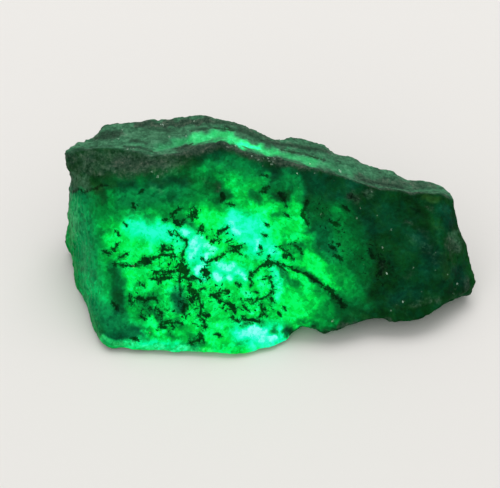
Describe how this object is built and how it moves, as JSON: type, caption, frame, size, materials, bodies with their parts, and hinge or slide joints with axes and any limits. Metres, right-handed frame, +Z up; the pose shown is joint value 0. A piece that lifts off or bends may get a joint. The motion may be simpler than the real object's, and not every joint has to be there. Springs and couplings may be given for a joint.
{
  "type": "raw emerald crystal",
  "caption": "Raw green emerald lump: an elongated wedge with a broad sloping front face, a dark ridge with a sunken shelf behind it, layered back and rough broken ends, lying on its flat side.",
  "frame": {"origin": "centre of the stone's bounding box in plan, in the plane of the flat patch that it lies on", "axes": "+X along the stone towards its thin dark end, +Y towards its back, +Z up"},
  "size_m": [0.0606, 0.0334, 0.0218],
  "materials": {
    "emerald": "rough, cloudy green beryl with dark mica in its cracks and on its ridge; nothing is seen through it"
  },
  "bodies": {
    "root": {"emerald_crystal": "emerald"}
  },
  "joints": []
}
